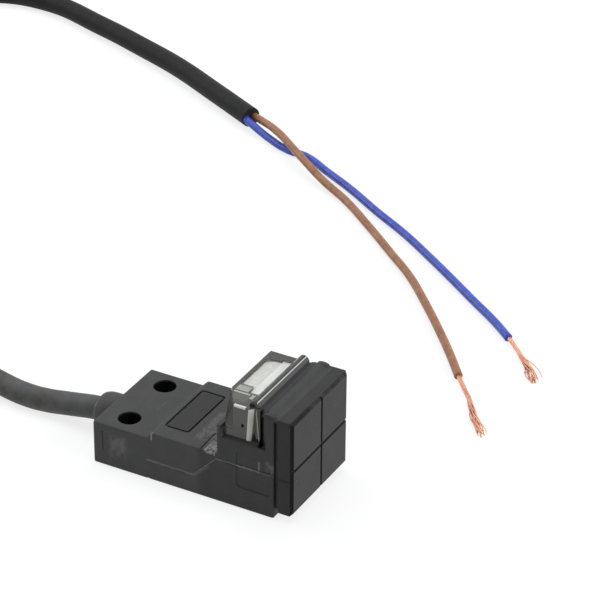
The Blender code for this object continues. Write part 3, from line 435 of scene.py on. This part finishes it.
def rib_ends():
    """Runs the top rib out to both side walls of the head."""
    bm = bmesh.new()
    steps, foot, springing = 12, 15.3, 15.39
    turns = [math.pi * step / steps for step in range(steps + 1)]
    arch = [(RIB_X + RIB_HALF_WIDTH * math.cos(turn), springing + RIB_RISE * math.sin(turn))
            for turn in turns]
    arch += [(RIB_X - RIB_HALF_WIDTH, foot), (RIB_X + RIB_HALF_WIDTH, foot)]
    for side in (-1, 1):
        solid(bm, arch, *sorted((side * (SIDE - 0.7), side * (SIDE - 0.03))), axis="Y")
    return finished("rib_ends", bm)


def parting_flash_highlight():
    """Fine uneven thread of flash that stands in the seam on both sides, flush with the walls."""
    spacing, foot = 0.3, SIDE - 0.07
    chance = random.Random(5)
    bm = bmesh.new()
    knots = [Vector((x, 0.0, z + 0.5 * GAP))
             for x, z in [(BLOCK_END - 0.25, SEAM[0][1]), *SEAM[1:]]]
    centre = []
    for start, end in zip(knots, knots[1:]):
        steps = max(2, round((end - start).length / spacing))
        centre += [start.lerp(end, step / steps) for step in range(steps)]
    centre.append(knots[-1])
    for side in (-1, 1):
        rings = []
        for spot in centre:
            half = chance.uniform(0.11, 0.18)
            lift = chance.uniform(-0.05, 0.05)
            crest = SIDE - chance.uniform(0.001, 0.02)
            rings.append([bm.verts.new(Vector((spot.x, side * y, spot.z + lift + dz)) * MM)
                          for y, dz in ((foot, -half), (crest, 0.0), (foot, half))])
        for ring, following in zip(rings, rings[1:]):
            for corners in zip(ring, ring[1:], following[1:], following):
                bm.faces.new(corners)
    bmesh.ops.recalc_face_normals(bm, faces=bm.faces)
    return finished("parting_flash_highlight", bm)


def mouth_ring_highlight():
    """Thin raised ring at the mouth of the boss, round the cable."""
    steps, corners, thick, distance, proud = 40, 8, 0.16, 0.22, 0.02
    bm = bmesh.new()
    rings = []
    for step in range(steps):
        turn = 2 * math.pi * step / steps
        ring = []
        for corner in range(corners):
            angle = 2 * math.pi * corner / corners
            radius = CABLE_RADIUS + distance + thick * math.cos(angle)
            place = Vector((BOSS_END - proud + thick * math.sin(angle), radius * math.sin(turn),
                            BOSS_HEIGHT + radius * math.cos(turn)))
            ring.append(bm.verts.new(place * MM))
        rings.append(ring)
    tube(bm, rings)
    bmesh.ops.recalc_face_normals(bm, faces=bm.faces)
    return finished("mouth_ring_highlight", bm)


tie = coil_tie()
guide = guide_top()
web = corner_web()
shield = light_shield()
fill = seam_fill()
rib = rib_ends()
flash = parting_flash_highlight()
ring = mouth_ring_highlight()
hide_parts("light_guide")

for piece, nodes in ((cable, ("cable_near", "cable_coil", "cable_far")), (tie, ("coil_tie",)),
                     (brown, ("core_brown",)), (blue, ("core_blue",)),
                     (brown_wires, ("strands_brown",)), (blue_wires, ("strands_blue",))):
    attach(piece, "root")
    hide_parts(*nodes)
for piece in (brown_root, blue_root):
    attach(piece, "root")


class Nodes:
    """Short way to write a material's nodes."""

    def __init__(self, name):
        self.material = bpy.data.materials.new(name)
        self.material.use_nodes = True
        self.tree = self.material.node_tree
        self.shader = self.tree.nodes["Principled BSDF"]
        self.where = self.add("ShaderNodeTexCoord").outputs["Object"]

    def put(self, socket, value):
        """Links an output to a socket, or sets the socket to a value."""
        if isinstance(value, bpy.types.NodeSocket):
            self.tree.links.new(value, socket)
        else:
            socket.default_value = value

    def add(self, kind, inputs=(), **settings):
        node = self.tree.nodes.new(kind)
        for key, value in settings.items():
            setattr(node, key, value)
        for key, value in dict(inputs).items():
            self.put(node.inputs[key], value)
        return node

    def noise(self, size_mm, detail, rough=0.5, stretch=(1, 1, 1)):
        """Noise with blobs of about a size in millimetres."""
        place = self.add("ShaderNodeMapping", {"Vector": self.where, "Scale": stretch})
        return self.add("ShaderNodeTexNoise", {
            "Vector": place.outputs["Vector"], "Scale": 1 / (size_mm * MM), "Detail": detail,
            "Roughness": rough}).outputs["Fac"]

    def ramp(self, value, low, high, out_low=0.0, out_high=1.0):
        return self.add("ShaderNodeMapRange", {
            "Value": value, "From Min": low, "From Max": high, "To Min": out_low,
            "To Max": out_high}).outputs["Result"]

    def maths(self, operation, first, second):
        return self.add("ShaderNodeMath", {0: first, 1: second},
                        operation=operation).outputs["Value"]

    def vectors(self, operation, *inputs):
        return self.add("ShaderNodeVectorMath", dict(enumerate(inputs)), operation=operation)

    def split(self, vector):
        return self.add("ShaderNodeSeparateXYZ", {"Vector": vector}).outputs

    def blend(self, share, first, second):
        """From one number to another."""
        return self.add("ShaderNodeMix", {0: share, 2: first, 3: second}).outputs[0]

    def mix(self, share, first, second):
        """From one colour to another."""
        return self.add("ShaderNodeMix", {0: share, 6: first, 7: second},
                        data_type="RGBA").outputs[2]

    def cloudy(self, noise, dark, light):
        """Two colours that mingle with a noise."""
        return self.mix(self.ramp(noise, 0.35, 0.7), dark, light)

    def grainy(self, grain, low, high):
        """A roughness between two values, with a grain."""
        return self.ramp(grain, 0.3, 0.7, low, high)

    def patch(self, low, high, soft, lean=0.0):
        """1 inside a box, which may lean towards X, fading to 0 over a soft border."""
        middle = [(a + b) / 2 * MM for a, b in zip(low, high)]
        half = [(b - a) / 2 * MM for a, b in zip(low, high)]
        place = self.where
        if lean:
            below = self.maths("SUBTRACT", middle[2], self.split(place)["Z"])
            offset = self.add("ShaderNodeCombineXYZ", {"X": self.maths("MULTIPLY", below, lean)})
            place = self.vectors("ADD", place, offset.outputs["Vector"]).outputs["Vector"]
        for operation, *value in (("SUBTRACT", middle), ("ABSOLUTE",), ("SUBTRACT", half)):
            place = self.vectors(operation, place, *value).outputs["Vector"]
        parts = self.split(place)
        outside = self.maths("MAXIMUM", self.maths("MAXIMUM", parts["X"], parts["Y"]), parts["Z"])
        return self.ramp(outside, soft * MM, 0.0)

    def bump(self, height, depth_mm, strength, normal=None):
        inputs = {"Height": height, "Distance": depth_mm * MM, "Strength": strength}
        if normal:
            inputs["Normal"] = normal
        return self.add("ShaderNodeBump", inputs).outputs["Normal"]

    def finish(self, **sockets):
        for key, value in sockets.items():
            self.put(self.shader.inputs[key.replace("_", " ")], value)
        return self.material


def grey(value, warm=0.0):
    return (value + warm, value, value - warm, 1.0)


def opaque(colour, shade=1.0):
    return (*(value * shade for value in colour), 1.0)


# Marks on the moulding, some of them painted light and shade, as low corner, high corner, soft
# border, share, tone and size of their blotches (0 where they are plain), and their lean. Tones
# below DULL also lose their shine.
DULL = 0.015
MOULDING_MARKS_AND_PAINTED_LIGHT = [
    # Painted shade on the near side and top of the head, a little darker
    ((3.2, -7.7, -0.3), (14.4, -7.3, 15.4), 0.9, 0.26, 0.014, 0.0),
    ((12.0, -7.6, 15.3), (14.6, 7.6, 16.2), 0.2, 0.15, 0.014, 0.0),
    # Pale scuff and dull patch on the near side of the rear block
    ((-10.4, -7.6, 2.1), (-8.9, -7.3, 4.7), 0.9, 0.8, 0.12, 1.2),
    ((-13.4, -7.6, 0.4), (-11.2, -7.3, 5.9), 0.5, 0.6, 0.026, 2.0),
    # Painted shade on the walls of the two screw holes
    ((-11.3, 2.8, 0.3), (-7.8, 6.3, 6.2), 0.1, 1.0, 0.006, 0.0),
    ((-11.3, -6.3, 0.3), (-7.8, -2.8, 6.2), 0.1, 1.0, 0.006, 0.0),
    # Dark upright line on the rear block, and painted shadow in the slit in front of the clear
    # cover's leg
    ((-12.05, -7.6, 2.3), (-11.96, -7.3, 5.4), 0.06, 0.8, 0.010, 0.0),
    ((11.5, -7.2, 9.9), (11.95, -6.0, 15.38), 0.06, 1.0, 0.004, 0.0),
    # Painted highlight on the near edge, where the deck begins
    ((-4.5, -7.7, 6.35), (-4.32, -7.2, 7.5), 0.08, 1.0, 0.22, 0.0),
    # Pale flecks at the deck's corner, darker and paler speckles between label and head
    ((3.7, -7.6, 7.2), (5.1, -5.2, 7.6), 0.25, 1.0, 0.30, 0.45),
    ((1.0, -5.6, 7.2), (4.6, 1.6, 7.6), 0.5, 0.9, 0.016, 0.6),
    ((1.2, -5.4, 7.2), (4.6, 1.4, 7.6), 0.5, 0.8, 0.13, 0.4),
    # Dark field of the label
    ((-3.6, -4.7, 7.2), (-0.5, 4.7, 7.6), 0.08, 0.8, 0.018, 0.0),
    ((-3.4, -4.5, 7.2), (-0.7, 4.5, 7.6), 0.4, 0.5, 0.020, 0.7),
    ((-3.6, -4.7, 7.2), (-0.5, 4.7, 7.6), 0.08, 0.2, 0.012, 0.0),
    # Painted light on the cable boss, a little paler
    ((-17.2, -6.0, 2.0), (-13.65, 6.0, 7.0), 0.2, 0.6, 0.054, 0.0),
    # Painted highlight along the seam's level run and its slope
    ((-5.3, -7.6, 2.8), (2.2, -7.3, 3.15), 0.2, 0.7, 0.080, 0.9),
    ((2.86, -7.6, 2.95), (3.24, -7.3, 4.95), 0.2, 0.9, 0.095, 0.0, 0.97),
    # Pale rub on the near side of the head, and the line behind it
    ((12.9, -7.6, 7.2), (14.0, -7.2, 8.3), 0.3, 0.9, 0.11, 0.6),
    ((11.68, -7.6, 6.8), (11.86, -7.2, 8.0), 0.12, 0.9, 0.15, 0.0),
    # Fine scratch on top of the rear block
    ((-7.46, -1.2, 6.4), (-7.36, 1.1, 6.6), 0.08, 0.6, 0.12, 0.8),
    # Painted light on the shaded floor of the pocket that the clear cover's leg stands in
    ((5.9, -7.38, 9.9), (11.4, -6.5, 10.6), 0.05, 0.9, 0.068, 0.0),
]
FLASH_PAINTED_HIGHLIGHTS = [
    # Painted highlight on the flash, brighter along the level run and the slope, fading at the
    # front end
    ((-5.6, -7.7, 2.5), (5.5, -7.2, 6.6), 0.1, 1.0, 0.19, 0.0),
    ((12.0, -7.7, 5.9), (14.3, -7.2, 6.9), 0.2, 0.85, 0.045, 0.0),
]
CAP_MARKS_AND_PAINTED_SHADE = [
    # Painted shade on the near side and top of the neck
    ((14.5, -7.8, -0.3), (17.2, -7.3, 15.9), 0.1, 0.3, 0.009, 0.0),
    ((14.6, -7.6, 15.3), (16.4, 7.6, 15.9), 0.2, 0.15, 0.010, 0.0),
    # Bevels along the near edge and along the top edge of the face
    ((16.44, -7.7, 1.0), (17.0, -7.16, 15.1), 0.07, 1.0, 0.010, 0.0),
    ((16.46, -7.7, 15.04), (16.84, -3.0, 15.5), 0.3, 0.7, 0.013, 0.0),
    ((16.46, -7.7, 15.04), (16.84, 7.0, 15.5), 0.1, 0.6, 0.013, 1.4),
    # The cross carried round the near side
    ((14.7, -7.6, 6.35), (16.4, -7.3, 6.5), 0.04, 0.7, 0.012, 0.0),
]


def charcoal(name, low=0.031, high=0.042, marks=()):
    """Matte moulded plastic: fine grain, faint clouds, pale scuffs, marks and worn edges, and
    painted light and shade where its marks give them.
    """
    scuffed, worn, shine, dull_shine = grey(0.085), grey(0.11), 0.4, 0.05
    n = Nodes(name)
    grain = n.noise(0.12, 2)
    scuff = n.ramp(n.noise(1.1, 8, 0.65, (1, 1, 2.2)), 0.62, 0.75)
    round_normal = n.add("ShaderNodeBevel", {"Radius": 0.1 * MM}, samples=6).outputs["Normal"]
    flat = n.add("ShaderNodeNewGeometry").outputs["True Normal"]
    edge = n.ramp(n.vectors("DOT_PRODUCT", round_normal, flat).outputs["Value"], 0.995, 0.85)
    base = n.cloudy(n.noise(2.6, 4), grey(low), grey(high))
    base = n.mix(n.maths("MULTIPLY", scuff, 0.35), base, scuffed)
    for corner, other, soft, share, tone, size, *lean in marks:
        mask = n.maths("MULTIPLY", n.patch(corner, other, soft, *lean), share)
        if size:
            mask = n.maths("MULTIPLY", mask, n.ramp(n.noise(size, 5, 0.6), 0.40, 0.56))
        base = n.mix(mask, base, grey(tone, 0.02 * tone))
        if tone < DULL:
            shine = n.blend(mask, shine, dull_shine)
    base = n.mix(n.maths("MULTIPLY", edge, 0.25), base, worn)
    return n.finish(Base_Color=base, Roughness=n.grainy(grain, 0.5, 0.66),
                    Normal=n.bump(grain, 0.012, 0.6, round_normal), IOR=1.5,
                    Specular_IOR_Level=shine)


# Zones of the clear cover, some of them painted highlights and painted shadows, as low corner,
# high corner, soft border, colour, share of light let through, and their lean
COVER_ZONES_AND_PAINTED_LIGHT = [
    # Round ridge along the front edge
    ((9.6, -7.2, 15.47), (11.6, 7.2, 16.4), 0.05, (0.042, 0.044, 0.034, 1), 0.2),
    # Cut rear corner, its foot, and the leg's flat with its lower half
    ((5.3, -7.2, 10.2), (7.64, -3.0, 15.1), 0.05, (0.046, 0.048, 0.037, 1), 0.2),
    ((5.3, -7.2, 10.0), (7.7, -5.5, 12.0), 0.12, (0.086, 0.088, 0.068, 1), 0.15),
    ((7.72, -7.2, 10.4), (9.8, -6.5, 15.1), 0.06, (0.105, 0.105, 0.096, 1), 0.2),
    ((7.78, -7.2, 9.6), (9.7, -6.5, 12.1), 0.6, (0.076, 0.080, 0.061, 1), 0.2),
    # Front part of the leg, and painted shadow of the gap along its front edge
    ((10.3, -7.2, 10.2), (11.0, -6.0, 15.3), 0.05, (0.060, 0.064, 0.040, 1), 0.1),
    ((11.08, -7.2, 10.2), (11.6, -6.0, 15.3), 0.05, (0.010, 0.010, 0.008, 1), 0.0),
    # Grey end of the roof, with its darker plate, pale stripes and pale spot
    ((6.0, -6.2, 13.9), (9.6, -1.9, 15.6), 0.06, (0.17, 0.17, 0.15, 1), 0.5),
    ((6.45, -5.6, 15.2), (8.7, -4.15, 15.6), 0.06, (0.17, 0.17, 0.145, 1), 0.3),
    ((6.15, -4.05, 15.2), (8.5, -3.75, 15.6), 0.05, (0.62, 0.63, 0.58, 1), 0.2),
    ((6.1, -3.45, 15.2), (7.95, -2.3, 15.6), 0.06, (0.52, 0.53, 0.48, 1), 0.2),
    ((8.85, -4.7, 15.2), (9.25, -3.8, 15.6), 0.12, (0.66, 0.67, 0.62, 1), 0.2),
    # Clear over the light guide's field and bar
    ((6.0, -1.9, 13.9), (7.98, 5.35, 15.6), 0.05, (1, 1, 0.99, 1), 1.0),
    ((8.0, -3.3, 13.9), (9.42, 5.75, 15.6), 0.05, (1, 1, 0.99, 1), 1.0),
    # Painted highlights on the bevels: over the leg, along it, and on the hairline in front of it
    ((7.85, -7.1, 15.15), (9.5, -6.62, 15.6), 0.06, (0.92, 0.92, 0.88, 1), 0.1),
    ((9.84, -7.1, 10.2), (10.38, -6.3, 15.25), 0.08, (0.72, 0.73, 0.66, 1), 0.1, 0.06),
    ((11.07, -6.7, 10.6), (11.13, -6.2, 15.2), 0.06, (0.50, 0.51, 0.43, 1), 0.1, -0.08),
    # Front flank of the ridge, and a painted highlight as a bright line on its top
    ((11.06, -7.2, 15.3), (11.6, 7.2, 16.4), 0.04, (0.070, 0.070, 0.074, 1), 0.0),
    ((10.92, -6.3, 16.0), (10.97, 6.9, 16.4), 0.05, (0.80, 0.80, 0.76, 1), 0.1),
    # Painted shadow in the latch hole
    ((8.93, -7.1, 12.35), (9.3, -6.6, 12.85), 0.03, (0.004, 0.004, 0.004, 1), 0.0),
]


def smoky():
    """Smoky clear moulding: clear over the light guide, deep in its leg, with painted highlights on
    its bevels and ridge and painted shadows in its gap and latch hole.
    """
    low_tint, high_tint, clear = (0.060, 0.062, 0.050, 1), (0.082, 0.082, 0.075, 1), 0.3
    n = Nodes("smoky_clear_plastic")
    haze = n.ramp(n.noise(0.5, 5), 0.3, 0.8, 0.02, 0.09)
    tint = n.mix(n.ramp(n.split(n.where)["Z"], 11.6 * MM, 12.2 * MM), low_tint, high_tint)
    for low, high, soft, colour, through, *lean in COVER_ZONES_AND_PAINTED_LIGHT:
        zone = n.patch(low, high, soft, *lean)
        tint = n.mix(zone, tint, colour)
        clear = n.blend(zone, clear, through)
    return n.finish(Base_Color=tint, Roughness=haze, Normal=n.bump(n.noise(1.6, 2), 0.01, 0.3),
                    IOR=1.49, Transmission_Weight=clear)


def milky():
    """Frosted light guide: uneven field, brighter raised bar in front."""
    dim, lit, bar = (0.63, 0.645, 0.61, 1), (0.79, 0.795, 0.76, 1), (0.90, 0.905, 0.87, 1)
    n = Nodes("milky_white_plastic")
    frost = n.ramp(n.noise(0.7, 6, 0.65), 0.38, 0.66)
    in_bar = n.ramp(n.split(n.where)["X"], 7.9 * MM, 8.1 * MM)
    return n.finish(Base_Color=n.mix(in_bar, n.mix(frost, dim, lit), bar), Roughness=0.4,
                    Normal=n.bump(frost, 0.02, 0.5))


def jacket():
    """Extruded cable jacket: paler and smudged near the sensor, dark and dull at its cut end."""
    smudged = (0.040, 0.038, 0.030, 1)
    n = Nodes("cable_jacket")
    bloom = n.ramp(n.noise(2.2, 6, 0.6), 0.4, 0.75)
    smudge = n.ramp(n.noise(4.5, 5, 0.6, (1, 1.6, 1)), 0.5, 0.62)
    grain = n.noise(0.25, 3)
    paler_near = n.mix(bloom, (0.072, 0.072, 0.073, 1), (0.106, 0.106, 0.106, 1))
    paler_near = n.mix(n.maths("MULTIPLY", smudge, 0.8), paler_near, smudged)
    darker_far = n.mix(bloom, (0.013, 0.013, 0.013, 1), (0.022, 0.022, 0.022, 1))
    far = n.ramp(n.split(n.where)["Y"], 60 * MM, 84 * MM)
    return n.finish(Base_Color=n.mix(far, paler_near, darker_far), Roughness=n.grainy(grain, 0.5, 0.64),
                    Normal=n.bump(grain, 0.02, 0.5),
                    Specular_IOR_Level=n.ramp(far, 0.0, 1.0, 0.4, 0.16))


def insulation(name, dark, light):
    n = Nodes(name)
    grain = n.noise(0.2, 2)
    return n.finish(Base_Color=n.cloudy(n.noise(1.3, 4), opaque(dark), opaque(light)),
                    Roughness=n.grainy(grain, 0.3, 0.42), Normal=n.bump(grain, 0.01, 0.5))


def metal(name, colour, rough):
    n = Nodes(name)
    grain = n.noise(0.3, 4)
    return n.finish(Base_Color=n.cloudy(grain, opaque(colour, 0.8), opaque(colour)), Metallic=1.0,
                    Roughness=n.grainy(grain, rough, rough + 0.15))


def plain(name, colour, rough, size=0.6):
    """Fine-grained solid colour for the small inner parts."""
    n = Nodes(name)
    grain = n.noise(size, 4)
    return n.finish(Base_Color=n.cloudy(grain, opaque(colour, 0.82), opaque(colour)),
                    Roughness=n.grainy(grain, rough - 0.05, rough + 0.1),
                    Normal=n.bump(grain, 0.01, 0.4))


FINISHES = {
    "charcoal": charcoal("charcoal_moulding", marks=MOULDING_MARKS_AND_PAINTED_LIGHT),
    "cap": charcoal("charcoal_cap", 0.010, 0.016, CAP_MARKS_AND_PAINTED_SHADE),
    # The flash is painted pale: a painted highlight along the parting line
    "flash": charcoal("parting_flash_highlight", 0.085, 0.15, FLASH_PAINTED_HIGHLIGHTS),
    # The mouth ring is painted pale: a painted highlight round the mouth of the boss
    "ring": charcoal("mouth_ring_highlight", 0.24, 0.42),
    "shield": plain("shield_plastic", (0.05, 0.05, 0.045), 0.45),
    "smoky": smoky(),
    "milky": milky(),
    "jacket": jacket(),
    "brown": insulation("brown_insulation", (0.31, 0.115, 0.045), (0.46, 0.20, 0.085)),
    "blue": insulation("blue_insulation", (0.026, 0.060, 0.46), (0.060, 0.125, 0.68)),
    "copper": metal("bare_copper", (0.79, 0.41, 0.28), 0.28),
    "tie": plain("tie_plastic", (0.03, 0.03, 0.032), 0.42),
    "board": plain("solder_mask", (0.02, 0.16, 0.07), 0.45),
    "resin": plain("moulded_resin", (0.022, 0.022, 0.024), 0.45, 0.2),
    "resistor": plain("resistor_glaze", (0.04, 0.04, 0.045), 0.35, 0.2),
    "capacitor": plain("capacitor_ceramic", (0.42, 0.28, 0.17), 0.5, 0.2),
    "orange": plain("orange_lamp_lens", (0.85, 0.35, 0.05), 0.2),
    "green": plain("green_lamp_lens", (0.1, 0.7, 0.2), 0.2),
    "ferrite": plain("ground_ferrite", (0.06, 0.06, 0.065), 0.6, 0.15),
    "bobbin": plain("natural_nylon", (0.6, 0.57, 0.5), 0.5),
    "solder": metal("reflowed_solder", (0.7, 0.71, 0.72), 0.3),
    "steel": metal("plated_steel", (0.55, 0.55, 0.56), 0.3),
}

# Finish of each CAD solid, and of each piece that this script adds
SOLIDS = {
    "charcoal": ("housing", "bottom_cover"),
    "cap": ("sensing_cap",),
    "smoky": ("indicator_cover",),
    "milky": ("light_guide",),
    "board": ("circuit_board",),
    "resin": ("sensor_chip", "output_transistor", "zener_diode"),
    "resistor": ("chip_resistor_1", "chip_resistor_2"),
    "capacitor": ("chip_capacitor_1", "chip_capacitor_2"),
    "orange": ("orange_lamp",),
    "green": ("green_lamp",),
    "ferrite": ("ferrite_core",),
    "bobbin": ("coil_bobbin",),
    "copper": ("coil_winding", "coil_lead_1", "coil_lead_2"),
    "steel": ("cable_collar",),
    "brown": ("inner_core_brown",),
    "blue": ("inner_core_blue",),
    "solder": ("solder_brown", "solder_blue"),
}
PIECES = {
    "jacket": (cable,),
    "brown": (brown, brown_root),
    "blue": (blue, blue_root),
    "copper": (brown_wires, blue_wires),
    "tie": (tie,),
    "milky": (guide,),
    "smoky": (web,),
    "shield": (shield,),
    "charcoal": (fill, rib),
    "flash": (flash,),
    "ring": (ring,),
}


def paint(obj, finish):
    obj.data.materials.clear()
    obj.data.materials.append(FINISHES[finish])


for finish, names in SOLIDS.items():
    for name in names:
        node = frame["nodes"][name]
        paint(node, finish)
        soften(node.data, 28)
for finish, pieces in PIECES.items():
    for piece in pieces:
        paint(piece, finish)


def to_camera(tree):
    """1 for what the camera sees, directly, mirrored or through the cover; 0 for other light."""
    path = tree.nodes.new("ShaderNodeLightPath")
    total = path.outputs["Is Camera Ray"]
    for name in ("Is Glossy Ray", "Is Transmission Ray"):
        node = tree.nodes.new("ShaderNodeMath")
        node.operation = "MAXIMUM"
        tree.links.new(total, node.inputs[0])
        tree.links.new(path.outputs[name], node.inputs[1])
        total = node.outputs["Value"]
    return total


def floor():
    """Pale floor that the camera sees as white and that keeps the object's soft shadow."""
    half_size, drop = 1.5, 0.02 * MM
    bm = bmesh.new()
    bmesh.ops.create_grid(bm, x_segments=4, y_segments=4, size=half_size)
    obj = mesh_object("floor", bm)
    obj.location.z = -drop
    n = Nodes("white_sweep")
    n.finish(Base_Color=(0.8, 0.8, 0.8, 1), Roughness=1.0, Specular_IOR_Level=0.0)
    shadowed = n.add("ShaderNodeBsdfDiffuse", {"Color": (0.3, 0.3, 0.3, 1)})
    glow = n.add("ShaderNodeEmission", {"Strength": 0.78})
    white = n.add("ShaderNodeAddShader", {0: shadowed.outputs[0], 1: glow.outputs[0]})
    pick = n.add("ShaderNodeMixShader", {0: to_camera(n.tree), 1: n.shader.outputs[0],
                                         2: white.outputs[0]})
    n.put(n.tree.nodes["Material Output"].inputs["Surface"], pick.outputs[0])
    obj.data.materials.append(n.material)


def world(ambient):
    """Even light of a strength, which the camera sees as white."""
    sky = bpy.data.worlds.new("studio")
    bpy.context.scene.world = sky
    sky.use_nodes = True
    tree = sky.node_tree
    back = tree.nodes["Background"]
    pick = tree.nodes.new("ShaderNodeMapRange")
    pick.inputs["To Min"].default_value = ambient
    pick.inputs["To Max"].default_value = 1.0
    tree.links.new(to_camera(tree), pick.inputs["Value"])
    tree.links.new(pick.outputs[0], back.inputs["Strength"])
    back.inputs["Color"].default_value = (1, 1, 1, 1)


def lamp(name, place, target, size, power, colour=(1.0, 1.0, 1.0)):
    """Square softbox, with its place and size in metres and its power in watts."""
    data = bpy.data.lights.new(name, "AREA")
    data.shape = "SQUARE"
    data.size = size
    data.energy = power
    data.color = colour
    obj = link(name, data)
    aim = Vector(target) - Vector(place)
    turn = aim.to_track_quat("-Z", "Y").to_matrix().to_4x4()
    obj.matrix_world = Matrix.Translation(place) @ turn


floor()
world(ambient=0.2)
lamp("top_softbox", (-0.1, 0.2, 0.9), (0, 0, 0), size=0.8, power=4.2, colour=(0.93, 0.95, 1.0))
lamp("right_softbox", (0.85, 0.0, 0.4), (0, 0, 0.01), size=0.6, power=4.8)
lamp("left_softbox", (-0.8, 0.0, 0.45), (0, 0, 0.01), size=0.5, power=1.6)

bpy.context.scene.view_settings.view_transform = "Standard"

bpy.context.view_layer.update()
